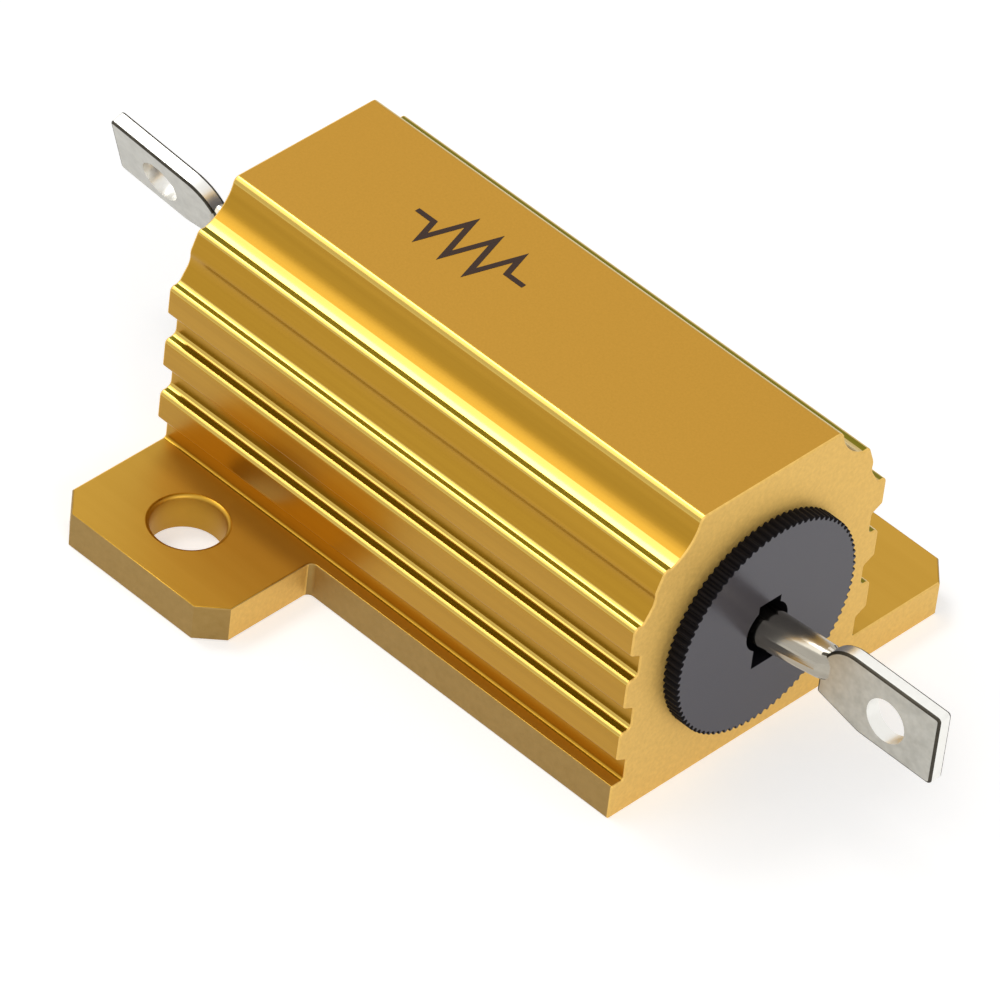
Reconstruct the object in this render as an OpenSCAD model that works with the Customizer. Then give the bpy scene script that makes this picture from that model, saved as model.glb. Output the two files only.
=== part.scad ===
/* [Housing] */
// Length of the aluminium extrusion
body_l = 27.5; // [26.5:0.5:32]
// Height from the mounting face to the flat top
body_h = 14.8; // [14.4:0.1:15.6]
// Width across the base ledges
base_w = 15.2; // [15:0.1:16]
// Width of the flat top
top_w = 8.4; // [7.8:0.1:8.8]
// Depth of the grooves between the cooling ribs
rib_depth = 0.6; // [0.4:0.05:0.7]
// Width across the two feet
foot_w = 26.8; // [26:0.1:30]
// Length of each foot along the body
foot_l = 9.7; // [9:0.1:11]
// Thickness of the feet and the base ledges
foot_t = 1.8; // [1.5:0.1:2]
// Chamfer on the outer corners of the feet
foot_chamfer = 1.1; // [0.6:0.1:1.6]
// Diameter of the bore that holds the element
bore_d = 9.2; // [8.8:0.1:9.4]

/* [Mounting holes] */
// Diameter of the screw hole in each foot
hole_d = 3.3; // [2.8:0.1:3.5]
// Distance between the two holes along the body
hole_dx = 18.3; // [17.8:0.1:18.8]
// Distance between the two holes across the body
hole_dy = 19.8; // [19.4:0.1:20.4]

/* [End caps] */
// Outer diameter of the toothed rim
cap_d = 10.6; // [10.2:0.1:11]
// How far the rim stands proud of the housing
cap_proud = 0.8; // [0.6:0.1:1.4]
// Number of teeth round the rim
cap_teeth = 88; // [64:2:96]
// Depth of the teeth
tooth_depth = 0.14; // [0.1:0.02:0.2]
// Length of the plug inside the bore
plug_l = 1.5; // [1:0.1:2]

/* [Terminals] */
// Overall length over both terminals
overall_l = 48.8; // [48:0.2:54]
// Diameter of the round pin
pin_d = 2; // [1.8:0.1:2.2]
// Height of the flattened lug
lug_h = 3.6; // [3:0.1:3.6]
// Thickness of the flattened lug
lug_t = 0.75; // [0.6:0.05:1]
// Length of the flattened lug
lug_l = 6.5; // [6:0.1:7]
// Diameter of the hole in the lug
lug_hole_d = 2.1; // [1.6:0.1:2.2]
// Twist of the rear lug about its pin, in degrees
rear_twist = 20; // [0:1:30]
// Upward bend of the rear pin outside its cap, in degrees
rear_lift = 4; // [0:0.5:6]

/* [Resistance element] */
// Diameter of the ceramic core
core_d = 5.2; // [4.6:0.1:5.4]
// Length of the ceramic core
core_l = 19.4; // [18:0.2:20]
// Wall of the metal ferrules on the core
ferrule_wall = 0.36; // [0.34:0.02:0.5]
// Length of each ferrule's skirt
ferrule_l = 1.9; // [1.5:0.1:2.5]
// Diameter of the resistance wire
wire_d = 0.3; // [0.24:0.02:0.3]
// Number of turns of resistance wire
wire_turns = 16; // [10:1:18]

/* [Hidden] */
$fn = 64;

// The body runs along X with its front end at +X, the feet reach towards -Y and +Y,
// and the mounting face is z = 0.
axis_z = 7;
half_l = body_l / 2;
past = 0.1;

// heights of the section
rib_pitch = 0.196 * body_h;
rib_h = rib_pitch / 2;
waist_z = 0.769 * body_h;
nose_z = 0.804 * body_h;
crown_z = 0.871 * body_h;
cove_z = 0.86 * body_h;
// half widths of the section, from the ledge at its foot to the lip under the flat top
ledge_y = base_w / 2;
rib_y = ledge_y - 0.1;
groove_y = rib_y - rib_depth;
waist_y = rib_y - 1.25;
nose_y = rib_y - 0.85;
crown_y = rib_y - 1.4;
cove_y = top_w / 2 + 0.3;
// roundings of the section
cove_r = 1;
crest_r = 0.22;
edge_r = 0.14;
arc_step = 12;

// feet
foot_inner_x = half_l - foot_l;
foot_reach = foot_w / 2;
foot_blend_r = 0.3;
hole_bevel = 0.2;

// end caps
bore_r = bore_d / 2;
cap_r = cap_d / 2;
cap_face_x = half_l + cap_proud;
plug_x = half_l - plug_l;
pin_hole_d = 2.6;
lug_slot_w = 1.3;
lug_slot_h = 4.1;

// terminals
pin_r = pin_d / 2;
tip_x = overall_l / 2;
lug_hole_in = 2.75;
lug_taper = 2.4;
lug_shoulder_r = 1.1;
lug_end_r = 1.7;
// how far the middle of the lug stands above the middle of the pin
lug_rise = 0.2;
pinch_l = 0.5;
knuckle_r = pin_r + 0.02;
// distance from the rear pin's bend to its tip that keeps the overall length
tip_heel = (lug_h / 2 - lug_rise) * cos(rear_twist) + lug_t / 2 * sin(rear_twist);
rear_reach = (tip_x - cap_face_x - tip_heel * sin(rear_lift)) / cos(rear_lift);

// resistance element
core_r = core_d / 2;
core_bevel = 0.2;
ferrule_r = core_r + ferrule_wall;
ferrule_end = 0.5;
ferrule_x = core_l / 2 + ferrule_end;
rim_x = core_l / 2 - ferrule_l;

// resistance wire: a helix whose ends turn along the core and meet the ferrules' rims
wire_r = wire_d / 2;
wire_sides = 6;
turn_steps = 20;
coil_r = (core_r + wire_r) / cos(180 / turn_steps) + 0.005;
bend_r = 0.6;
coil_half_l = rim_x - bend_r;

function unit(v) = v / norm(v);
function polar(r, a) = [r * cos(a), r * sin(a)];
function flipped(points) = [for (i = [len(points) - 1:-1:0]) [-points[i].x, points[i].y, points[i].z]];

// arc of radius r that rounds the corner at b, between its neighbours a and c
function round_corner(a, b, c, r) =
    let (u = unit(a - b), v = unit(c - b), half = acos(u * v) / 2,
        middle = b + unit(u + v) * r / sin(half),
        from = b + u * r / tan(half) - middle,
        to = b + v * r / tan(half) - middle,
        start = atan2(from.y, from.x),
        turn = (atan2(to.y, to.x) - start + 540) % 360 - 180,
        steps = ceil(abs(turn) / arc_step))
    [for (i = [0:steps]) middle + polar(r, start + turn * i / steps)];

// outline through corners given as [across, up, radius]
function rounded(corners) =
    let (n = len(corners), at = [for (c = corners) [c.x, c.y]])
    [for (i = [0:n - 1]) each corners[i].z == 0
        ? [at[i]]
        : round_corner(at[(i + n - 1) % n], at[i], at[(i + 1) % n], corners[i].z)];

// a cooling rib with its flat top at height z, its underside sloping in to the groove
function rib(z) = [
    [groove_y, z - rib_h - 0.3, edge_r],
    [rib_y, z - rib_h, edge_r],
    [rib_y, z, crest_r],
    [groove_y, z, edge_r]];

// right half of the section, from the mounting face to the edge of the flat top
half_section = [
    [ledge_y, 0, 0],
    [ledge_y, foot_t, edge_r],
    [groove_y, foot_t, edge_r],
    each rib(foot_t + rib_pitch),
    each rib(foot_t + 2 * rib_pitch),
    [groove_y, foot_t + 3 * rib_pitch - rib_h - 0.3, edge_r],
    [rib_y, foot_t + 3 * rib_pitch - rib_h, edge_r],
    [rib_y, foot_t + 3 * rib_pitch, crest_r],
    [rib_y - 0.5, foot_t + 3 * rib_pitch, edge_r],
    [waist_y, waist_z, edge_r],
    [nose_y, nose_z, crest_r],
    [crown_y, crown_z, edge_r],
    [cove_y, cove_z, cove_r],
    [top_w / 2, body_h, crest_r]];

// plan of the front foot, from inside the body
foot_plan = [
    [half_l, 0, 0],
    [half_l, foot_reach - foot_chamfer, crest_r],
    [half_l - foot_chamfer, foot_reach, crest_r],
    [foot_inner_x + foot_chamfer, foot_reach, crest_r],
    [foot_inner_x, foot_reach - foot_chamfer, crest_r],
    [foot_inner_x, ledge_y, foot_blend_r],
    [foot_inner_x - 2 * foot_blend_r, ledge_y, 0],
    [foot_inner_x - 2 * foot_blend_r, 0, 0]];

// side view of the lug, with its narrow end at x = 0
lug_side = [
    [0, -pin_r, edge_r],
    [lug_taper, lug_rise - lug_h / 2, lug_shoulder_r],
    [lug_l, lug_rise - lug_h / 2, edge_r],
    [lug_l, lug_rise + lug_h / 2, edge_r],
    [0, lug_rise + lug_h / 2, lug_end_r]];

// centre line of the wire, as [along the core, distance round it]
coil_turn_l = 360 * wire_turns;
wire_line =
    let (bend = [for (a = [0:22.5:90]) [bend_r * (1 - cos(a)), bend_r * sin(a) / coil_r * 180 / PI]],
        steps = turn_steps * wire_turns)
    concat(
        [for (i = [len(bend) - 1:-1:1]) [-coil_half_l, 0] - bend[i]],
        [for (i = [0:steps]) [coil_half_l * (2 * i / steps - 1), coil_turn_l * i / steps]],
        [for (i = [1:len(bend) - 1]) [coil_half_l, coil_turn_l] + bend[i]]);

function wire_point(i) =
    let (p = wire_line[i])
    [p.x, coil_r * sin(p.y), coil_r * cos(p.y)];

function wire_direction(i) =
    let (last = len(wire_line) - 1)
    i == 0 || i == last ? [1, 0, 0] : unit(wire_point(i + 1) - wire_point(i - 1));

// ring of points round the wire, square to its run
function wire_ring(i) =
    let (p = wire_point(i), along = wire_direction(i),
        out = unit([0, p.y, p.z]), side = unit(cross(along, out)), up = cross(side, along))
    [for (k = [0:wire_sides - 1])
        p + wire_r * (cos(360 * k / wire_sides) * side + sin(360 * k / wire_sides) * up)];

// turns the children's +Z to +X, about the bore's axis
module along_axis() {
    translate([0, 0, axis_z]) rotate([0, 90, 0]) children();
}

// stands children at both ends of the body, the second turned half round
module feet_pair() {
    children();
    rotate([0, 0, 180]) children();
}

module foot() {
    linear_extrude(height = foot_t) polygon(rounded(foot_plan));
}

module foot_hole() {
    translate([hole_dx / 2, hole_dy / 2, 0]) {
        translate([0, 0, -past]) cylinder(h = foot_t + 2 * past, d = hole_d);
        translate([0, 0, foot_t - hole_bevel])
            cylinder(h = hole_bevel + past, d1 = hole_d, d2 = hole_d + 2 * (hole_bevel + past));
    }
}

module housing() {
    color("goldenrod") difference() {
        union() {
            rotate([90, 0, 90]) linear_extrude(height = body_l, center = true)
                polygon(rounded(concat(half_section, flipped(half_section))));
            feet_pair() foot();
        }
        along_axis() cylinder(h = body_l + 2 * past, r = bore_r, center = true);
        feet_pair() foot_hole();
    }
}

module toothed_rim() {
    pitch = 360 / cap_teeth;
    linear_extrude(height = cap_proud) polygon([for (i = [0:cap_teeth - 1]) each [
        polar(cap_r - tooth_depth, pitch * i),
        polar(cap_r - tooth_depth, pitch * (i + 0.25)),
        polar(cap_r, pitch * (i + 0.45)),
        polar(cap_r, pitch * (i + 0.8))]]);
}

// the lug goes through the slot when the cap is pushed home
module end_cap() {
    color("dimgray") along_axis() difference() {
        union() {
            translate([0, 0, half_l]) toothed_rim();
            translate([0, 0, plug_x]) cylinder(h = plug_l + past, r = bore_r);
        }
        translate([0, 0, plug_x - past]) {
            cylinder(h = plug_l + cap_proud + 2 * past, d = pin_hole_d);
            linear_extrude(height = plug_l + cap_proud + 2 * past)
                square([lug_slot_h, lug_slot_w], center = true);
        }
    }
}

module front_end_cap() {
    end_cap();
}

module rear_end_cap() {
    rotate([0, 0, 180]) end_cap();
}

// pin from x = from_x and the lug that it is pressed into, along the x axis, ending at x = end_x
module pin_and_lug(from_x, end_x) {
    start_x = end_x - lug_l;
    rotate([0, 90, 0]) {
        translate([0, 0, from_x]) cylinder(h = start_x - from_x, r = pin_r);
        translate([0, 0, start_x]) cylinder(h = pinch_l, r1 = pin_r, r2 = lug_t / 2);
    }
    difference() {
        translate([start_x, 0, 0]) rotate([90, 0, 0])
            linear_extrude(height = lug_t, center = true) polygon(rounded(lug_side));
        translate([end_x - lug_hole_in, 0, 0]) rotate([90, 0, 0])
            cylinder(h = lug_t + 2 * past, d = lug_hole_d, center = true);
    }
}

module front_terminal() {
    color("silver") translate([0, 0, axis_z]) pin_and_lug(ferrule_x, tip_x);
}

module rear_terminal() {
    color("silver") translate([-cap_face_x, 0, axis_z]) {
        rotate([0, 90, 0]) cylinder(h = cap_face_x - ferrule_x, r = pin_r);
        sphere(r = knuckle_r);
        rotate([0, rear_lift, 0]) rotate([-rear_twist, 0, 180]) pin_and_lug(0, rear_reach);
    }
}

// cup that is pressed over the end of the core
module ferrule() {
    color("lightsteelblue") along_axis() difference() {
        translate([0, 0, rim_x]) cylinder(h = ferrule_x - rim_x, r = ferrule_r);
        translate([0, 0, rim_x - past]) cylinder(h = ferrule_l + past, r = core_r);
    }
}

module front_ferrule() {
    ferrule();
}

module rear_ferrule() {
    rotate([0, 0, 180]) ferrule();
}

module ceramic_core() {
    color("ivory") along_axis() rotate_extrude() polygon([
        [0, -core_l / 2],
        [core_r - core_bevel, -core_l / 2],
        [core_r, core_bevel - core_l / 2],
        [core_r, core_l / 2 - core_bevel],
        [core_r - core_bevel, core_l / 2],
        [0, core_l / 2]]);
}

module resistance_winding() {
    rings = len(wire_line);
    n = wire_sides;
    color("darkgray") translate([0, 0, axis_z]) polyhedron(
        points = [for (i = [0:rings - 1]) each wire_ring(i)],
        faces = concat(
            [[for (k = [0:n - 1]) k]],
            [for (i = [0:rings - 2], k = [0:n - 1])
                [i * n + k, i * n + n + k, i * n + n + (k + 1) % n, i * n + (k + 1) % n]],
            [[for (k = [n - 1:-1:0]) (rings - 1) * n + k]]));
}

// fills the bore round the element and grips the pins
module silicone_filler() {
    color("gray") along_axis() difference() {
        cylinder(h = 2 * plug_x, r = bore_r, center = true);
        cylinder(h = 2 * ferrule_x, r = ferrule_r, center = true);
        cylinder(h = body_l, r = pin_r, center = true);
    }
}

housing();
front_end_cap();
rear_end_cap();
front_terminal();
rear_terminal();
front_ferrule();
rear_ferrule();
ceramic_core();
resistance_winding();
silicone_filler();
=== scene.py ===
# Aluminium housed power resistor: a ribbed gold-anodised body with two diagonal feet,
# black toothed end caps and tinned lug terminals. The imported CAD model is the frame.

import math

import bmesh
import bpy
from mathutils import Matrix, Quaternion, Vector


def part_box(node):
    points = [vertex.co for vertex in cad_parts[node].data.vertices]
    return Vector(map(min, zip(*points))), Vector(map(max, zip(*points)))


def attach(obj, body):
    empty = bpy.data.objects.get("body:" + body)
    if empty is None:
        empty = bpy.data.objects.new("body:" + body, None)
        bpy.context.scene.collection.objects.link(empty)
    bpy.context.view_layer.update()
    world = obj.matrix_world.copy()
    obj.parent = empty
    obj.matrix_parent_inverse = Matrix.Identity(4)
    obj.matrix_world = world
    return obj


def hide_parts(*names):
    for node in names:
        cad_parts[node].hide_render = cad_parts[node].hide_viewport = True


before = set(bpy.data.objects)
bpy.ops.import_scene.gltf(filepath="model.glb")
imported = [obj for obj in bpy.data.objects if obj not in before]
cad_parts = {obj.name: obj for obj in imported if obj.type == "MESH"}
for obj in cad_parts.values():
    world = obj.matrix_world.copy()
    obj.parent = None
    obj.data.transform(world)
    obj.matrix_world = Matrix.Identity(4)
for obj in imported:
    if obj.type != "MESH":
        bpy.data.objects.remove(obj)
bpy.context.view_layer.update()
mm = 0.001  # dictionaries are in millimetres and degrees, but the studio in metres
mergeGap = 0.0005 * mm
alongX = (0, math.pi / 2, 0)
alongY = (math.pi / 2, 0, 0)
upright = (0, 0, 0)


# camera

cameraView = {
    "target": (0.03, -0.76, 4.29),
    "azimuth": -49.76,
    "elevation": 41.36,
    "roll": 7.2,
    "distance": 420.7,
    "lens": 360,
    "sensor": 36,
}


def placeCamera(view):
    azimuth, elevation = math.radians(view["azimuth"]), math.radians(view["elevation"])
    outwards = Vector((
        math.cos(elevation) * math.cos(azimuth),
        math.cos(elevation) * math.sin(azimuth),
        math.sin(elevation),
    ))
    camera = bpy.data.objects.new("camera", bpy.data.cameras.new("camera"))
    camera.data.sensor_width = view["sensor"]
    camera.data.lens = view["lens"]
    camera.data.clip_start = 0.01
    camera.data.clip_end = 20
    camera.location = (Vector(view["target"]) + outwards * view["distance"]) * mm
    camera.rotation_mode = "QUATERNION"
    tilt = Quaternion((0, 0, 1), math.radians(view["roll"]))
    camera.rotation_quaternion = outwards.to_track_quat("Z", "Y") @ tilt
    bpy.context.scene.collection.objects.link(camera)
    bpy.context.scene.camera = camera


placeCamera(cameraView)
print("camera placed")


# modelling helpers

def selectOnly(piece):
    bpy.ops.object.select_all(action="DESELECT")
    piece.select_set(True)
    bpy.context.view_layer.objects.active = piece


def openPiece(piece):
    selectOnly(piece)
    bpy.ops.object.mode_set(mode="EDIT")
    bpy.ops.mesh.select_mode(type="VERT")
    bpy.ops.mesh.select_all(action="DESELECT")


def closePiece():
    bpy.ops.object.mode_set(mode="OBJECT")


def pick(kind, test):
    # selects the vertices, edges or faces that pass the test and says how many they are
    piece = bpy.context.edit_object
    bpy.ops.mesh.select_mode(type={"verts": "VERT", "edges": "EDGE", "faces": "FACE"}[kind])
    bpy.ops.mesh.select_all(action="DESELECT")
    mesh = bmesh.from_edit_mesh(piece.data)
    found = [item for item in getattr(mesh, kind) if test(item)]
    for item in found:
        item.select_set(True)
    mesh.select_flush_mode()
    bmesh.update_edit_mesh(piece.data)
    return len(found)


def pickSharp(test, angle=20):
    # the edges that pass at both ends and where the surface turns
    least = math.radians(angle)
    return pick("edges", lambda edge: bothEnds(edge, test) and edge.calc_face_angle(0) > least)


def bothEnds(edge, test):
    return all(test(vert.co) for vert in edge.verts)


def near(a, b, gap=0.002):
    return abs(a - b) < gap * mm


def settle(piece):
    # the place goes into the mesh, doubles are merged and faces turned outwards
    closePiece()
    selectOnly(piece)
    bpy.ops.object.transform_apply(location=True, rotation=True, scale=True)
    openPiece(piece)
    bpy.ops.mesh.select_all(action="SELECT")
    bpy.ops.mesh.remove_doubles(threshold=mergeGap)
    bpy.ops.mesh.normals_make_consistent(inside=False)
    closePiece()


def applyAll(piece):
    bpy.context.view_layer.objects.active = piece
    for change in list(piece.modifiers):
        bpy.ops.object.modifier_apply(modifier=change.name)


def combine(piece, other, operation):
    # joins or cuts with another solid, which is then thrown away
    change = piece.modifiers.new("combine", "BOOLEAN")
    change.operation = operation
    change.solver = "EXACT"
    change.object = other
    applyAll(piece)
    bpy.data.objects.remove(other, do_unlink=True)


def smooth(piece, angle=35):
    # soft shading on the rounded edges, with the broad faces kept flat
    selectOnly(piece)
    bpy.ops.object.shade_smooth_by_angle(angle=math.radians(angle))
    weighted = piece.modifiers.new("weighted", "WEIGHTED_NORMAL")
    weighted.keep_sharp = True
    applyAll(piece)


def traceOutline(name, places):
    # one vertex, extruded from corner to corner
    bpy.ops.mesh.primitive_plane_add(size=mm, location=Vector(places[0]) * mm)
    piece = bpy.context.object
    piece.name = name
    openPiece(piece)
    bpy.ops.mesh.select_all(action="SELECT")
    bpy.ops.mesh.merge(type="CENTER")
    for here, there in zip(places, places[1:]):
        step = (Vector(there) - Vector(here)) * mm
        bpy.ops.mesh.extrude_region_move(TRANSFORM_OT_translate={"value": step})
    closePiece()
    bpy.ops.object.transform_apply(location=True)
    return piece


def fillOutline(piece):
    openPiece(piece)
    bpy.ops.mesh.select_all(action="SELECT")
    bpy.ops.mesh.remove_doubles(threshold=mergeGap)
    bpy.ops.mesh.edge_face_add()


def roundCorner(test, radius, steps=5):
    # bevels each picked corner of a flat outline so that its arc has this radius
    piece = bpy.context.edit_object
    if not pick("verts", lambda vert: test(vert.co)):
        raise RuntimeError(f"{piece.name}: no corner to round")
    mesh = bmesh.from_edit_mesh(piece.data)
    vert = next(item for item in mesh.verts if item.select)
    sides = [(edge.other_vert(vert).co - vert.co) for edge in vert.link_edges]
    turn = math.pi - sides[0].angle(sides[1])
    bpy.ops.mesh.bevel(
        offset=radius * mm * math.tan(turn / 2), segments=steps, affect="VERTICES"
    )


def extrudeOutline(piece, step):
    # thickens a filled outline into a solid
    bpy.ops.mesh.select_all(action="SELECT")
    bpy.ops.mesh.extrude_region_move(TRANSFORM_OT_translate={"value": Vector(step) * mm})
    settle(piece)


def addCylinder(place, axis, radius, length, sides):
    # the place is in metres, the other sizes are in millimetres
    bpy.ops.mesh.primitive_cylinder_add(
        vertices=sides, radius=radius * mm, depth=length * mm, location=place, rotation=axis
    )
    return bpy.context.object


def drill(piece, place, axis, radius, length, sides):
    combine(piece, addCylinder(Vector(place) * mm, axis, radius, length, sides), "DIFFERENCE")


def copyPiece(piece, name, turn):
    # a copy with its own mesh, put in its place in the mesh
    twin = piece.copy()
    twin.data = piece.data.copy()
    twin.name = name
    twin.data.name = name
    twin.data.transform(turn)
    bpy.context.scene.collection.objects.link(twin)
    return twin


halfTurn = Matrix.Rotation(math.pi, 4, "Z")


# housing: a base plate with two feet, and above it one extruded section

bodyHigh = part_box("housing")[1]
housing = {
    "halfLength": bodyHigh.x / mm,
    "height": bodyHigh.z / mm - 0.008,
    "baseHalf": 7.6,
    "plateInset": 0.3,
    "plate": 1.8,
    "sideHalf": 6.9,
    "ribHalf": 7.5,
    "ribTops": (4.7, 7.6, 10.5),
    "ribSide": 1.45,
    "ribSlope": 0.3,
    "lastHalf": 7.0,
    "waist": (6.43, 11.4),
    "nose": (6.48, 11.9),
    "crown": (6.08, 12.9),
    "valley": (5.7, 12.88),
    "cove": (4.5, 13.26),
    "topHalf": 4.2,
    "edgeRound": 0.14,
    "crestRound": 0.25,
    "grooveRound": 0.25,
    "topRound": 0.34,
    "noseRound": 0.5,
    "waistRound": 0.8,
    "crownRound": 0.24,
    "valleyRound": 0.04,
    "coveRound": 2.1,
    "coveSteps": 12,
    "cornerSteps": 6,
    "cutRound": 0.08,
    "cutAngle": 50,
    "cutBand": 0.02,
    "flatAngle": 0.5,
    "axis": 7.0,
    "bore": 4.6,
    "boreDrill": 40,
    "boreSides": 96,
    "footReach": bodyHigh.y / mm,
    "footStart": 4.05,
    "footCorner": 1.1,
    "footBlend": 0.3,
    "blendSteps": 8,
    "hole": (9.15, 9.9),
    "holeRadius": 1.65,
    "holeBevel": 0.2,
    "holeDrill": 6,
    "holeSides": 64,
}


def sectionCorners(form):
    # half of the section from its foot to its top: half width, height, corner radius
    edge, crest = form["edgeRound"], form["crestRound"]
    inside = form["baseHalf"] - form["plateInset"]
    corners = [
        (inside, form["plate"] / 2, 0),
        (inside, form["plate"], 0),
        (form["sideHalf"], form["plate"], edge),
    ]
    for top in form["ribTops"]:
        under = top - form["ribSide"]
        last = top == form["ribTops"][-1]
        corners += [
            (form["sideHalf"], under - form["ribSlope"], edge),
            (form["ribHalf"], under, edge),
            (form["ribHalf"], top, crest),
            (form["lastHalf"] if last else form["sideHalf"], top, form["grooveRound"]),
        ]
    return corners + [
        (*form["waist"], form["waistRound"]),
        (*form["nose"], form["noseRound"]),
        (*form["crown"], form["crownRound"]),
        (*form["valley"], form["valleyRound"]),
        (*form["cove"], form["coveRound"]),
        (form["topHalf"], form["height"], form["topRound"]),
    ]


def makeSection(form):
    corners = sectionCorners(form)
    start = -form["halfLength"]
    places = [(start, 0, form["plate"] / 2)]
    places += [(start, -half, height) for half, height, radius in corners]
    places.append((start, 0, form["height"]))
    section = traceOutline("section", places)
    mirror = section.modifiers.new("mirror", "MIRROR")
    mirror.use_axis = (False, True, False)
    mirror.merge_threshold = 0.001 * mm
    applyAll(section)
    fillOutline(section)
    for half, height, radius in corners:
        if radius:
            roundCorner(
                lambda place: near(abs(place.y), half * mm) and near(place.z, height * mm),
                radius,
                form["coveSteps"] if radius == form["coveRound"] else form["cornerSteps"],
            )
    extrudeOutline(section, (2 * form["halfLength"], 0, 0))
    return section


def makePlate(form):
    # the plan of the base, half of it turned round to make the other half
    end, base, reach = form["halfLength"], form["baseHalf"], form["footReach"]
    half = [
        (-end, base, 0),
        (form["footStart"], base, 0),
        (form["footStart"], reach, 0),
        (end, reach, 0),
    ]
    places = half + [(-x, -y, z) for x, y, z in half]
    plate = traceOutline("plate", places + [places[0]])
    fillOutline(plate)
    roundCorner(
        lambda place: near(abs(place.x), form["footStart"] * mm) and near(abs(place.y), base * mm),
        form["footBlend"],
        form["blendSteps"],
    )
    for x in (form["footStart"], end):
        roundCorner(
            lambda place: near(abs(place.x), x * mm) and near(abs(place.y), reach * mm),
            form["footCorner"],
            1,
        )
    extrudeOutline(plate, (0, 0, form["plate"]))
    return plate


def squareEnds(piece, end):
    # both ends are put on exactly the same planes
    for vert in piece.data.vertices:
        if near(abs(vert.co.x), end):
            vert.co.x = math.copysign(end, vert.co.x)


def drillHousing(body, form):
    # the long bore, and one hole in each foot
    reach, sides = form["boreDrill"], form["boreSides"]
    drill(body, (0, 0, form["axis"]), alongX, form["bore"], reach, sides)
    reach, sides = form["holeDrill"], form["holeSides"]
    x, y = form["hole"]
    for side in (1, -1):
        drill(body, (side * x, side * y, 1), upright, form["holeRadius"], reach, sides)


def bevelHoles(form):
    x, y = (value * mm for value in form["hole"])
    top, rim = form["plate"] * mm, form["holeRadius"] * mm
    pickSharp(
        lambda place: near(place.z, top)
        and near(math.hypot(abs(place.x) - x, abs(place.y) - y), rim, 0.01)
    )
    bpy.ops.mesh.bevel(offset=form["holeBevel"] * mm, segments=3)


def breakEdges(form):
    # the sawn ends and the milled plate have their edges just broken
    end, top = form["halfLength"] * mm, form["plate"] * mm
    ledge = (form["baseHalf"] - form["cutBand"]) * mm

    def cutEdge(edge):
        if edge.calc_face_angle(0) < math.radians(form["cutAngle"]):
            return False
        if bothEnds(edge, lambda place: near(abs(place.x), end)):
            return not bothEnds(
                edge,
                lambda place: near(
                    math.hypot(place.y, place.z - form["axis"] * mm), form["bore"] * mm, 0.02
                ),
            )
        return bothEnds(
            edge, lambda place: abs(place.y) > ledge and (near(place.z, top) or near(place.z, 0))
        )

    pick("edges", cutEdge)
    bpy.ops.mesh.bevel(offset=form["cutRound"] * mm, segments=3)


def makeHousing(form):
    body = makeSection(form)
    plate = makePlate(form)
    for piece in (body, plate):
        squareEnds(piece, form["halfLength"] * mm)
    combine(body, plate, "UNION")
    openPiece(body)
    bpy.ops.mesh.select_all(action="SELECT")
    bpy.ops.mesh.dissolve_limited(angle_limit=math.radians(form["flatAngle"]))
    closePiece()
    drillHousing(body, form)
    openPiece(body)
    bevelHoles(form)
    breakEdges(form)
    closePiece()
    body.name = body.data.name = "anodisedHousing"
    smooth(body)
    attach(body, "root")
    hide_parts("housing")
    return body


anodisedHousing = makeHousing(housing)
print("housing modelled:", len(anodisedHousing.data.polygons), "faces")


# printed sign on the flat top: the zig-zag of a resistor with its two leads

sign = {
    "start": -7.4,
    "lead": 1.0,
    "teeth": 6,
    "pitch": 0.72,
    "swing": 1.2,
    "middle": 0.35,
    "stroke": 0.27,
    "thick": 0.03,
    "top": bodyHigh.z / mm,
}


def signLine(form):
    # the middle line of the stroke, from lead to lead
    start, middle = form["start"] + form["lead"], form["middle"]
    line = [(form["start"], middle), (start, middle)]
    for step in range(form["teeth"]):
        side = form["swing"] if step % 2 else -form["swing"]
        line.append((start + form["pitch"] * (step + 0.5), middle + side))
    end = start + form["pitch"] * form["teeth"]
    return [Vector(place) for place in line + [(end, middle), (end + form["lead"], middle)]]


def besideLine(line, offset):
    # the same line moved sideways, with its corners mitred
    moved = []
    for index, place in enumerate(line):
        before = (place - line[max(index - 1, 0)]).normalized()
        after = (line[min(index + 1, len(line) - 1)] - place).normalized()
        along = (before + after).normalized()
        square = Vector((-along.y, along.x))
        reach = offset / along.dot(before if before.length else after)
        moved.append(place + square * reach)
    return moved


def makeSign(form):
    line = signLine(form)
    half = form["stroke"] / 2
    outline = besideLine(line, half) + besideLine(line, -half)[::-1]
    low = form["top"] - form["thick"]
    places = [(place.x, place.y, low) for place in outline]
    piece = traceOutline("printedSign", places + [places[0]])
    fillOutline(piece)
    extrudeOutline(piece, (0, 0, form["thick"]))
    piece.data.name = "printedSign"
    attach(piece, "root")
    return piece


printedSign = makeSign(sign)
print("sign modelled:", len(printedSign.data.polygons), "faces")


# end caps: a toothed rim with a plug behind it and a keyhole through both

cap = {
    "rim": 5.3,
    "root": 5.16,
    "rootShare": (0.95, 0.4),
    "teeth": 88,
    "back": housing["halfLength"],
    "face": 14.55,
    "plugEnd": 12.25,
    "plug": 4.6,
    "plugSides": 96,
    "plugOverlap": 0.1,
    "faceRound": 0.04,
    "hole": 1.22,
    "holeSides": 48,
    "slotWidth": 1.3,
    "slotLow": -2.05,
    "slotHigh": 1.42,
    "cutMiddle": 13.5,
    "cutLength": 5,
    "facing": 0.95,
}


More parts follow.
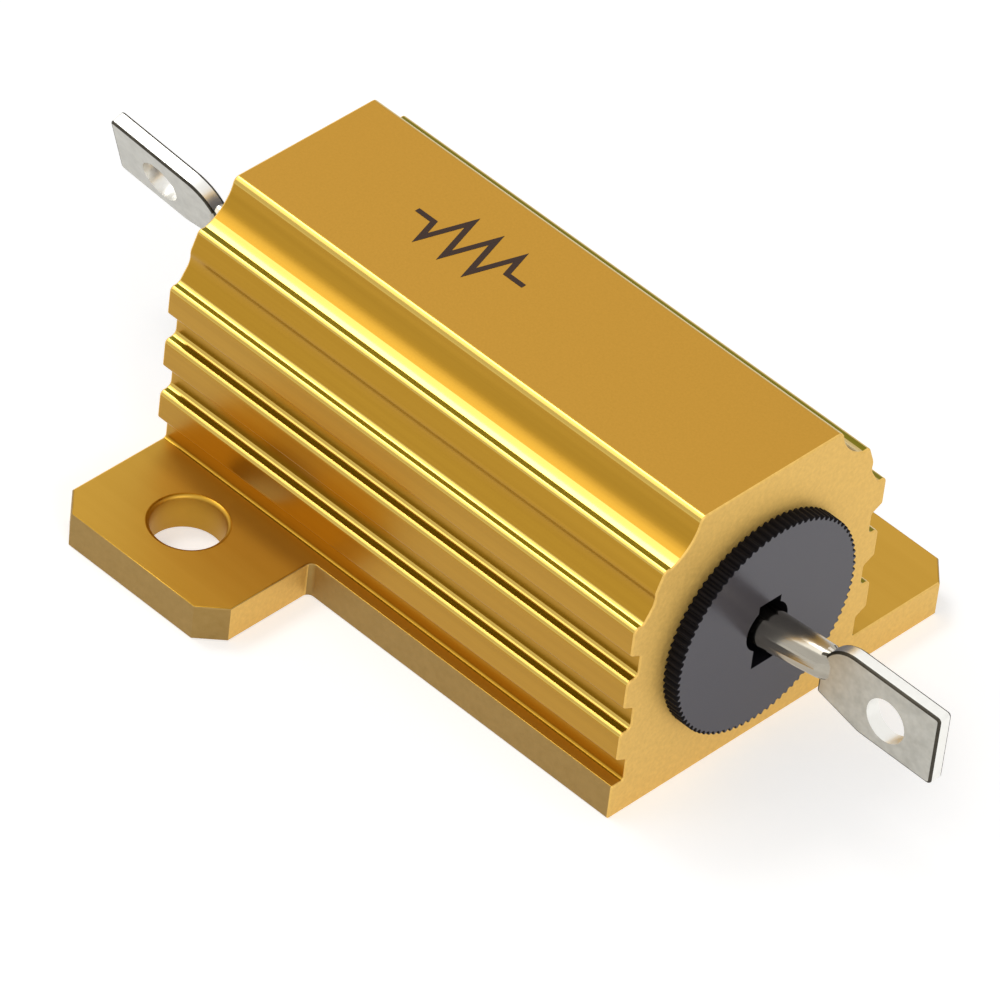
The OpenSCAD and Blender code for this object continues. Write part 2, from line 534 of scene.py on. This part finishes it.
def makeRim(form, name):
    # a disc whose edge goes in and out by a tooth at a time
    centre = Vector((form["back"], 0, housing["axis"])) * mm
    bpy.ops.mesh.primitive_circle_add(
        vertices=form["teeth"] * 4,
        radius=form["rim"] * mm,
        fill_type="NGON",
        location=centre,
        rotation=alongX,
    )
    piece = bpy.context.object
    piece.name = piece.data.name = name
    bpy.ops.object.transform_apply(location=True, rotation=True)
    pitch = 2 * math.pi / form["teeth"]
    rootFrom, rootTo = form["rootShare"]

    def inRoot(vert):
        turn = math.atan2(vert.co.y, vert.co.z - centre.z) % pitch / pitch
        return turn < rootTo or turn > rootFrom

    openPiece(piece)
    pick("verts", inRoot)
    bpy.ops.transform.resize(value=[form["root"] / form["rim"]] * 3, center_override=centre)
    extrudeOutline(piece, (form["face"] - form["back"], 0, 0))
    openPiece(piece)
    pickSharp(lambda place: near(place.x, form["face"] * mm))
    bpy.ops.mesh.bevel(offset=form["faceRound"] * mm, segments=2)
    closePiece()
    return piece


def cutKeyhole(piece, form):
    # a round hole for the pin and an upright slot for the lug
    middle, length = form["cutMiddle"], form["cutLength"]
    place = (middle, 0, housing["axis"])
    drill(piece, place, alongX, form["hole"], length, form["holeSides"])
    low, high = form["slotLow"] * mm, form["slotHigh"] * mm
    height = housing["axis"] * mm + (low + high) / 2
    bpy.ops.mesh.primitive_cube_add(size=1, location=(middle * mm, 0, height))
    slot = bpy.context.object
    slot.scale = (length * mm, form["slotWidth"] * mm, high - low)
    combine(piece, slot, "DIFFERENCE")


def makeCap(form, name):
    piece = makeRim(form, name)
    depth = form["back"] - form["plugEnd"] + form["plugOverlap"]
    place = ((form["plugEnd"] + depth / 2) * mm, 0, housing["axis"] * mm)
    plug = addCylinder(place, alongX, form["plug"], depth, form["plugSides"])
    combine(piece, plug, "UNION")
    cutKeyhole(piece, form)
    smooth(piece)
    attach(piece, "root")
    return piece


frontCap = makeCap(cap, "frontCap")
rearCap = copyPiece(frontCap, "rearCap", halfTurn)
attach(rearCap, "root")
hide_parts("front_end_cap")
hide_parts("rear_end_cap")
print("caps modelled:", len(frontCap.data.polygons), "faces each")


# terminals: a round pin pressed into a flat lug with a wire hole

terminal = {
    "pin": 0.92,
    "pinSides": 64,
    "pinRise": 0.42,
    "pinTaper": 0.86,
    "pinStart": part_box("front_terminal")[0].x / mm,
    "lugStart": 17.9,
    "lugRoot": 1.0,
    "low": -1.6,
    "high": 2.0,
    "lugEnd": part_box("front_terminal")[1].x / mm,
    "thick": 0.75,
    "shoulder": 2.4,
    "shoulderRound": 1.1,
    "shoulderSteps": 8,
    "innerRound": 1.7,
    "innerSteps": 12,
    "cornerRound": 0.2,
    "edgeRound": 0.11,
    "pinch": 0.6,
    "holeIn": 2.75,
    "hole": 1.05,
    "holeDrill": 3,
    "holeSides": 48,
    "clearOfCap": 1,
    "bendReach": 0.25,
    "rearTwist": 20,
    "rearLift": 4,
    "rearShort": 0.09,
}
capCentre = Vector((cap["face"], 0, housing["axis"])) * mm


def makeLug(form):
    # the flat end: an outline in its middle plane with one square shoulder and one sloped
    start, end, axis = form["lugStart"], form["lugEnd"], housing["axis"]
    back = -form["thick"] / 2
    low, high = axis + form["low"], axis + form["high"]
    shoulder = start + form["shoulder"]
    places = [
        (start, back, axis - form["lugRoot"]),
        (shoulder, back, low),
        (end, back, low),
        (end, back, high),
        (start, back, high),
    ]
    lug = traceOutline("lug", places + [places[0]])
    fillOutline(lug)
    roundCorner(
        lambda place: near(place.x, shoulder * mm), form["shoulderRound"], form["shoulderSteps"]
    )
    roundCorner(
        lambda place: near(place.x, start * mm) and near(place.z, high * mm),
        form["innerRound"],
        form["innerSteps"],
    )
    for height in (low, high):
        roundCorner(
            lambda place: near(place.x, end * mm) and near(place.z, height * mm),
            form["cornerRound"],
        )
    extrudeOutline(lug, (0, form["thick"], 0))
    openPiece(lug)
    pickSharp(lambda place: True, 60)
    bpy.ops.mesh.bevel(offset=form["edgeRound"] * mm, segments=3)
    closePiece()
    place = (end - form["holeIn"], 0, axis)
    drill(lug, place, alongY, form["hole"], form["holeDrill"], form["holeSides"])
    return lug


def makePin(form):
    # the round end, pinched down to the lug's thickness
    axis = housing["axis"] * mm
    length = form["lugStart"] - form["pinStart"]
    place = ((form["pinStart"] + length / 2) * mm, 0, axis)
    pin = addCylinder(place, alongX, form["pin"], length, form["pinSides"])
    settle(pin)
    openPiece(pin)
    pick("faces", lambda face: face.normal.x > 0.9)
    bpy.ops.mesh.extrude_region_move(
        TRANSFORM_OT_translate={"value": (form["pinch"] * mm, 0, 0)}
    )
    flat = form["thick"] / 2 / form["pin"]
    bpy.ops.transform.resize(value=(1, flat, 1), center_override=(0, 0, axis))
    # rings at the cap's face, so that the rear pin can be bent there
    for x in (cap["face"] + form["bendReach"] * side for side in (-1, 0, 1)):
        bpy.ops.mesh.select_all(action="SELECT")
        bpy.ops.mesh.bisect(plane_co=(x * mm, 0, axis), plane_no=(1, 0, 0))
    pick("verts", lambda vert: vert.co.x > (cap["face"] + form["clearOfCap"]) * mm)
    taper = form["pinTaper"]
    bpy.ops.transform.resize(value=(1, taper, taper), center_override=(0, 0, axis))
    bpy.ops.transform.translate(value=(0, 0, form["pinRise"] * mm))
    closePiece()
    return pin


def rearTurn(form, share=1):
    # the twist about the pin and this share of the lift
    lift = Matrix.Rotation(math.radians(-form["rearLift"] * share), 4, "Y")
    return lift @ Matrix.Rotation(math.radians(-form["rearTwist"]), 4, "X")


def bendRear(piece, form):
    # everything past the cap is shortened, twisted about the pin and lifted a little
    openPiece(piece)
    pick("verts", lambda vert: vert.co.x > capCentre.x + form["clearOfCap"] * mm)
    bpy.ops.transform.translate(value=(-form["rearShort"] * mm, 0, 0))
    closePiece()
    for vert in piece.data.vertices:
        past = (vert.co.x - capCentre.x) / (form["bendReach"] * mm)
        share = min(max(past, -1), 1) / 2 + 0.5
        if share > 0:
            vert.co = capCentre + rearTurn(form, share) @ (vert.co - capCentre)


lugPiece = makeLug(terminal)
frontTerminal = makePin(terminal)
frontTerminal.name = frontTerminal.data.name = "frontTerminal"
combine(frontTerminal, lugPiece, "UNION")
rearTerminal = copyPiece(frontTerminal, "rearTerminal", Matrix.Identity(4))
bendRear(rearTerminal, terminal)
rearTerminal.data.transform(halfTurn)
for piece, node in ((frontTerminal, "front_terminal"), (rearTerminal, "rear_terminal")):
    smooth(piece)
    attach(piece, "root")
    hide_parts(node)
print("terminals modelled:", len(frontTerminal.data.polygons), "faces each")


# finishes: shared effects are node groups, each material sets its own values

def addNode(tree, kind, inputs=None, **settings):
    # one shader node; an input, by name or number, takes a value or another node's output
    node = tree.nodes.new("ShaderNode" + kind)
    for name, value in settings.items():
        setattr(node, name, value)
    for name, value in (inputs or {}).items():
        if isinstance(value, bpy.types.NodeSocket):
            tree.links.new(value, node.inputs[name])
        else:
            node.inputs[name].default_value = value
    return node


def newGroup(name, inputs, outputs):
    tree = bpy.data.node_groups.new(name, "ShaderNodeTree")
    for direction, sockets in (("INPUT", inputs), ("OUTPUT", outputs)):
        for socket, kind in sockets.items():
            tree.interface.new_socket(
                name=socket, in_out=direction, socket_type="NodeSocket" + kind
            )
    return tree, tree.nodes.new("NodeGroupInput"), tree.nodes.new("NodeGroupOutput")


def stretch(tree, value, contrast):
    # moves a 0 to 1 value away from its middle
    centred = addNode(tree, "Math", {0: value, 1: 0.5}, operation="SUBTRACT")
    strength = addNode(
        tree, "Math", {0: centred.outputs[0], 1: contrast, 2: 0.5},
        operation="MULTIPLY_ADD", use_clamp=True,
    )
    return strength.outputs[0]


def makeDieLines():
    # fine lines drawn along the length by the extrusion die
    tree, given, result = newGroup(
        "dieLines", {"Across": "Float", "Along": "Float", "Contrast": "Float"}, {"Lines": "Float"}
    )
    place = addNode(tree, "TexCoord")
    scale = addNode(tree, "CombineXYZ", {
        "X": given.outputs["Along"], "Y": given.outputs["Across"], "Z": given.outputs["Across"],
    })
    drawn = addNode(
        tree, "VectorMath", {0: place.outputs["Object"], 1: scale.outputs["Vector"]},
        operation="MULTIPLY",
    )
    lines = addNode(tree, "TexNoise", {
        "Vector": drawn.outputs["Vector"], "Scale": 1.0, "Detail": 3.0, "Roughness": 0.6,
    })
    contrasted = stretch(tree, lines.outputs["Fac"], given.outputs["Contrast"])
    tree.links.new(contrasted, result.inputs["Lines"])
    return tree


def makeGrain():
    # fine even grain of a blasted, sawn or moulded surface
    tree, given, result = newGroup(
        "grain", {"Scale": "Float", "Contrast": "Float"}, {"Grain": "Float"}
    )
    place = addNode(tree, "TexCoord")
    noise = addNode(tree, "TexNoise", {
        "Vector": place.outputs["Object"], "Scale": given.outputs["Scale"],
        "Detail": 2.0, "Roughness": 0.7,
    })
    contrasted = stretch(tree, noise.outputs["Fac"], given.outputs["Contrast"])
    tree.links.new(contrasted, result.inputs["Grain"])
    return tree


dieLines = makeDieLines()
grain = makeGrain()


def useGroup(tree, group, **values):
    node = tree.nodes.new("ShaderNodeGroup")
    node.node_tree = group
    for name, value in values.items():
        node.inputs[name].default_value = value
    return node


def blendColours(tree, share, low, high):
    mix = addNode(tree, "Mix", {0: share, 6: (*low, 1), 7: (*high, 1)}, data_type="RGBA")
    return mix.outputs[2]


def spread(tree, source, low, high):
    # maps a 0 to 1 value to this range
    node = addNode(tree, "MapRange", {"Value": source, "To Min": low, "To Max": high})
    return node.outputs["Result"]


def makeMaterial(finish):
    # a Principled surface with colour, gloss and relief from one effect group
    material = bpy.data.materials.new(finish["name"])
    material.use_nodes = True
    tree = material.node_tree
    shader = tree.nodes["Principled BSDF"]
    for socket, value in finish.get("set", {}).items():
        shader.inputs[socket].default_value = value
    effect = useGroup(tree, finish["group"], **finish["values"]).outputs[0]
    tree.links.new(
        blendColours(tree, effect, finish["dark"], finish["light"]), shader.inputs["Base Color"]
    )
    tree.links.new(spread(tree, effect, *finish["roughness"]), shader.inputs["Roughness"])
    bump = addNode(tree, "Bump", {
        "Height": effect, "Strength": finish["relief"], "Distance": finish["depth"] * mm,
    })
    tree.links.new(bump.outputs["Normal"], shader.inputs["Normal"])
    return material


def paint(piece, *materials):
    piece.data.materials.clear()
    for material in materials:
        piece.data.materials.append(material)


sideGold = makeMaterial({
    "name": "dieDrawnGold",
    "group": dieLines,
    "values": {"Across": 2600, "Along": 25, "Contrast": 1.5},
    "dark": (0.385, 0.198, 0.010),
    "light": (0.475, 0.255, 0.018),
    "roughness": (0.26, 0.34),
    "relief": 0.12,
    "depth": 0.01,
    "set": {"Metallic": 1, "Coat Weight": 0.25, "Coat Roughness": 0.2},
})
# painted highlight: a paler gold on the rounded crests, top edges and the cove's lower faces,
# standing in for the bright lines and band that light puts there
paintedHighlightGold = makeMaterial({
    "name": "wornCrestGold",
    "group": dieLines,
    "values": {"Across": 2600, "Along": 25, "Contrast": 1.0},
    "dark": (0.52, 0.345, 0.065),
    "light": (0.62, 0.42, 0.095),
    "roughness": (0.16, 0.22),
    "relief": 0.08,
    "depth": 0.01,
    "set": {"Metallic": 1, "Coat Weight": 0.25, "Coat Roughness": 0.12},
})
# painted shade: a much darker gold for the upward faces of the rib tops, ledges and shelf,
# standing in for the dark shade lines there
paintedShadeGold = makeMaterial({
    "name": "shadedLedgeGold",
    "group": dieLines,
    "values": {"Across": 2600, "Along": 25, "Contrast": 1.2},
    "dark": (0.15, 0.122, 0.008),
    "light": (0.22, 0.18, 0.013),
    "roughness": (0.3, 0.4),
    "relief": 0.08,
    "depth": 0.01,
    "set": {"Metallic": 1},
})
topGold = makeMaterial({
    "name": "mattGold",
    "group": grain,
    "values": {"Scale": 9000, "Contrast": 1.2},
    "dark": (0.46, 0.248, 0.031),
    "light": (0.535, 0.29, 0.042),
    "roughness": (0.48, 0.58),
    "relief": 0.2,
    "depth": 0.01,
    "set": {"Metallic": 1},
})
footGold = makeMaterial({
    "name": "footGold",
    "group": dieLines,
    "values": {"Across": 1500, "Along": 40, "Contrast": 0.9},
    "dark": (0.485, 0.268, 0.032),
    "light": (0.555, 0.32, 0.047),
    "roughness": (0.42, 0.5),
    "relief": 0.06,
    "depth": 0.01,
    "set": {"Metallic": 1},
})
edgeGold = makeMaterial({
    "name": "edgeGold",
    "group": grain,
    "values": {"Scale": 2600, "Contrast": 1.6},
    "dark": (0.32, 0.20, 0.055),
    "light": (0.40, 0.26, 0.085),
    "roughness": (0.5, 0.62),
    "relief": 0.3,
    "depth": 0.02,
    "set": {"Metallic": 0.85},
})
sawnGold = makeMaterial({
    "name": "sawnGold",
    "group": grain,
    "values": {"Scale": 5000, "Contrast": 1.6},
    "dark": (0.74, 0.465, 0.115),
    "light": (0.88, 0.59, 0.17),
    "roughness": (0.5, 0.62),
    "relief": 0.3,
    "depth": 0.02,
    "set": {"Metallic": 0.8},
})
capBlack = makeMaterial({
    "name": "mouldedBlack",
    "group": grain,
    "values": {"Scale": 3500, "Contrast": 1.0},
    "dark": (0.015, 0.011, 0.025),
    "light": (0.028, 0.022, 0.041),
    "roughness": (0.18, 0.27),
    "relief": 0.15,
    "depth": 0.01,
    "set": {"IOR": 1.6},
})
# painted shade: the toothed rim, keyhole and plug walls are a near-black, rougher and less shiny
# copy of the cap's plastic, standing in for shade between the teeth
paintedShadeToothBlack = makeMaterial({
    "name": "toothedBlack",
    "group": grain,
    "values": {"Scale": 3500, "Contrast": 1.0},
    "dark": (0.003, 0.003, 0.004),
    "light": (0.008, 0.007, 0.010),
    "roughness": (0.5, 0.65),
    "relief": 0.15,
    "depth": 0.01,
    "set": {"Specular IOR Level": 0.12},
})
pinTin = makeMaterial({
    "name": "drawnTin",
    "group": dieLines,
    "values": {"Across": 2200, "Along": 120, "Contrast": 1.2},
    "dark": (0.33, 0.305, 0.25),
    "light": (0.48, 0.445, 0.375),
    "roughness": (0.14, 0.22),
    "relief": 0.08,
    "depth": 0.01,
    "set": {"Metallic": 1},
})
pressedTin = makeMaterial({
    "name": "pressedTin",
    "group": grain,
    "values": {"Scale": 1700, "Contrast": 1.3},
    "dark": (0.37, 0.36, 0.32),
    "light": (0.57, 0.56, 0.51),
    "roughness": (0.26, 0.36),
    "relief": 0.1,
    "depth": 0.01,
    "set": {"Metallic": 1},
})
# sheared lug edges, painted near white as a highlight; the same tin is reused on the hidden
# ferrules
shearedTin = makeMaterial({
    "name": "shearedTin",
    "group": dieLines,
    "values": {"Across": 3000, "Along": 3000, "Contrast": 0.8},
    "dark": (0.84, 0.83, 0.78),
    "light": (0.95, 0.94, 0.90),
    "roughness": (0.3, 0.4),
    "relief": 0.05,
    "depth": 0.01,
    "set": {"Metallic": 0.9},
})
# painted shade: a near-black tin for the lug's edge bevels, standing in for the dark lines of
# shade along the rounded rim
paintedShadeRim = makeMaterial({
    "name": "tarnishedRim",
    "group": grain,
    "values": {"Scale": 1400, "Contrast": 1.6},
    "dark": (0.03, 0.026, 0.018),
    "light": (0.09, 0.08, 0.06),
    "roughness": (0.4, 0.55),
    "relief": 0.1,
    "depth": 0.01,
    "set": {"Metallic": 0.8},
})
filler = makeMaterial({
    "name": "siliconeFiller",
    "group": grain,
    "values": {"Scale": 2500, "Contrast": 1.0},
    "dark": (0.42, 0.40, 0.36),
    "light": (0.56, 0.54, 0.49),
    "roughness": (0.55, 0.7),
    "relief": 0.1,
    "depth": 0.02,
})
ceramic = makeMaterial({
    "name": "steatiteRod",
    "group": grain,
    "values": {"Scale": 5000, "Contrast": 0.8},
    "dark": (0.66, 0.62, 0.52),
    "light": (0.78, 0.75, 0.66),
    "roughness": (0.45, 0.6),
    "relief": 0.1,
    "depth": 0.01,
})
wire = makeMaterial({
    "name": "resistanceWire",
    "group": grain,
    "values": {"Scale": 4000, "Contrast": 1.0},
    "dark": (0.30, 0.28, 0.26),
    "light": (0.42, 0.40, 0.37),
    "roughness": (0.25, 0.35),
    "relief": 0.05,
    "depth": 0.01,
    "set": {"Metallic": 1},
})
ink = makeMaterial({
    "name": "printedInk",
    "group": grain,
    "values": {"Scale": 6000, "Contrast": 1.4},
    "dark": (0.020, 0.006, 0.001),
    "light": (0.045, 0.016, 0.004),
    "roughness": (0.5, 0.65),
    "relief": 0.1,
    "depth": 0.005,
    "set": {"Specular IOR Level": 0.3},
})


goldZones = {
    "sawnDepth": 0.08,
    "topDepth": 0.1,
    "topLevel": 0.99,
    "footFrom": 7.5,
    "footLevel": 0.98,
    "paintedShadeLevel": 0.97,
    "facing": 0.9,
    "holeReach": 1.1,
    # reach and lean of the painted highlight on the crests, and the lean below which the cove gets
    # it
    "highlightReach": 0.32,
    "highlightLean": (0.2, 0.98),
    "coveHighlightLean": 0.55,
}


def paintHousing(piece, form, zones):
    # drawn sides, matt top and feet, sawn ends, milled edges, crests and cove painted paler as
    # highlights, and rib tops and ledges painted dark as shade
    finishes = [sideGold, topGold, sawnGold, footGold, edgeGold, paintedHighlightGold, paintedShadeGold]
    paint(piece, *finishes)
    end, plate = form["halfLength"] * mm, form["plate"] * mm
    x, y = (value * mm for value in form["hole"])
    holeReach = form["holeRadius"] * zones["holeReach"] * mm
    topFrom = (form["height"] - zones["topDepth"]) * mm
    lastTop = form["ribTops"][-1]
    corners = [(form["ribHalf"], top) for top in form["ribTops"]]
    corners += [(form["sideHalf"], top) for top in form["ribTops"]]
    corners += [form["crown"], (form["topHalf"], form["height"]), (form["lastHalf"], lastTop)]

    def atCorner(centre):
        return any(
            math.hypot(abs(centre.y) - half * mm, centre.z - height * mm)
            < zones["highlightReach"] * mm
            for half, height in corners
        )

    def inCove(centre):
        low, high = form["valley"][1] * mm, (form["height"] - form["topRound"]) * mm
        return low < centre.z < high and abs(centre.y) < form["valley"][0] * mm

    def plateEdge(centre, normal):
        if math.hypot(abs(centre.x) - x, abs(centre.y) - y) < holeReach:
            return footGold
        return sawnGold if abs(normal.x) > zones["facing"] else edgeGold

    def finishOf(centre, normal):
        lean, onFoot = abs(normal.y), abs(centre.y) > zones["footFrom"] * mm
        if abs(centre.x) > end - zones["sawnDepth"] * mm:
            return sawnGold
        if normal.z > zones["topLevel"] and centre.z > topFrom:
            return topGold
        if normal.z > zones["footLevel"] and onFoot:
            return footGold
        if abs(normal.z) < zones["facing"] and centre.z < plate and onFoot:
            return plateEdge(centre, normal)
        # painted shade: upward faces between the ribs get the dark gold
        if centre.z > plate and normal.z > zones["paintedShadeLevel"]:
            return paintedShadeGold
        # painted highlight on the rounded crests and in the lower cove
        leastLean, mostLean = zones["highlightLean"]
        if normal.z > 0 and leastLean < lean < mostLean and atCorner(centre):
            return paintedHighlightGold
        return paintedHighlightGold if inCove(centre) and lean < zones["coveHighlightLean"] else sideGold

    for face in piece.data.polygons:
        face.material_index = finishes.index(finishOf(face.center, face.normal))


tinZones = {
    "lead": 0.1,
    "pinHalf": 0.3,
    "pressed": 0.98,
    "sheared": 0.12,
    "rim": (0.24, 0.38),
}


def paintTerminal(piece, straight, form, zones):
    # polished pin, pressed faces, sheared edges painted near white as a highlight, and a dark rim
    # between them painted as shade
    finishes = [pinTin, pressedTin, shearedTin, paintedShadeRim]
    paint(piece, *finishes)
    turn = straight.to_3x3()
    lugStart = form["lugStart"] * mm
    rimFrom, rimTo = (half * mm for half in zones["rim"])

    def finishOf(place, normal):
        across = abs(place.y)
        beyond = place.x > (form["lugStart"] - zones["lead"]) * mm
        if not beyond or (across < zones["pinHalf"] * mm and place.x < lugStart):
            return pinTin
        if abs(normal.y) > zones["pressed"]:
            return pressedTin
        # edge faces get the tin with the painted highlight
        if abs(normal.y) < zones["sheared"]:
            return shearedTin
        # the rim bevels get the painted shade
        return paintedShadeRim if rimFrom < across < rimTo and place.x > lugStart else pinTin

    for face in piece.data.polygons:
        finish = finishOf(straight @ face.center, turn @ face.normal)
        face.material_index = finishes.index(finish)


# the way from the straight front terminal to the bent one behind the rear cap
rearPlace = (
    halfTurn @ Matrix.Translation(capCentre) @ rearTurn(terminal) @ Matrix.Translation(-capCentre)
)
paintHousing(anodisedHousing, housing, goldZones)
paint(printedSign, ink)
for piece in (frontCap, rearCap):
    paint(piece, capBlack, paintedShadeToothBlack)
    # the face keeps the moulded black, every other face gets the painted shade
    for face in piece.data.polygons:
        face.material_index = 0 if abs(face.normal.x) > cap["facing"] else 1
paintTerminal(frontTerminal, Matrix.Identity(4), terminal, tinZones)
paintTerminal(rearTerminal, rearPlace.inverted(), terminal, tinZones)


innerFinish = {
    "silicone_filler": filler,
    "ceramic_core": ceramic,
    "resistance_winding": wire,
    "front_ferrule": shearedTin,
    "rear_ferrule": shearedTin,
}
for node, material in innerFinish.items():
    for place in bpy.data.objects[node].material_slots:
        place.material = material


# floor, lamps and surroundings

studio = {
    "floorSize": 8,
    "floorColour": (0.78, 0.78, 0.78, 1),
    "floorGlow": 0.5,
    "softbox": {"size": 0.32, "distance": 1.1, "toward": (-0.485, 0.0, 0.8746), "radiance": 6.5},
    "halo": {"size": 0.62, "distance": 1.1, "toward": (-0.485, -0.41, 0.773), "radiance": 1.5},
    "fill": {"size": 0.6, "distance": 1.2, "toward": (0.8, -0.35, 0.5), "radiance": 3},
    "surround": 0.4,
    "backdrop": 1.0,
}


def addLamp(name, lamp):
    light = bpy.data.lights.new(name, "AREA")
    light.shape = "SQUARE"
    light.size = lamp["size"]
    light.energy = lamp["radiance"] * math.pi * lamp["size"] ** 2
    holder = bpy.data.objects.new(name, light)
    direction = Vector(lamp["toward"]).normalized()
    holder.location = direction * lamp["distance"]
    holder.rotation_mode = "QUATERNION"
    holder.rotation_quaternion = direction.to_track_quat("Z", "Y")
    bpy.context.scene.collection.objects.link(holder)


def seenRays(tree):
    # 1 where the eye, a shiny surface or glass looks, 0 for soft light
    path = addNode(tree, "LightPath")
    shown = path.outputs["Is Camera Ray"]
    for kind in ("Is Glossy Ray", "Is Transmission Ray"):
        either = addNode(tree, "Math", {0: shown, 1: path.outputs[kind]}, operation="MAXIMUM")
        shown = either.outputs[0]
    return shown


def makeWorld(values):
    world = bpy.data.worlds.new("studio")
    bpy.context.scene.world = world
    world.use_nodes = True
    tree = world.node_tree
    level = spread(tree, seenRays(tree), values["surround"], values["backdrop"])
    tree.links.new(level, tree.nodes["Background"].inputs["Strength"])
    tree.nodes["Background"].inputs["Color"].default_value = (1, 1, 1, 1)


def makeFloor(values):
    # a pale sheet that keeps the shadow and shows white to the eye and to shiny surfaces
    bpy.ops.mesh.primitive_plane_add(size=values["floorSize"])
    floor = bpy.context.object
    floor.name = "floor"
    material = bpy.data.materials.new("paleFloor")
    material.use_nodes = True
    tree = material.node_tree
    shader = tree.nodes["Principled BSDF"]
    shader.inputs["Base Color"].default_value = values["floorColour"]
    shader.inputs["Roughness"].default_value = 0.9
    shader.inputs["Specular IOR Level"].default_value = 0
    shader.inputs["Emission Color"].default_value = (1, 1, 1, 1)
    glow = spread(tree, seenRays(tree), 0, values["floorGlow"])
    tree.links.new(glow, shader.inputs["Emission Strength"])
    paint(floor, material)


makeFloor(studio)
for name in ("softbox", "halo", "fill"):
    addLamp(name, studio[name])
makeWorld(studio)
bpy.context.scene.view_settings.view_transform = "Standard"
print("studio set")
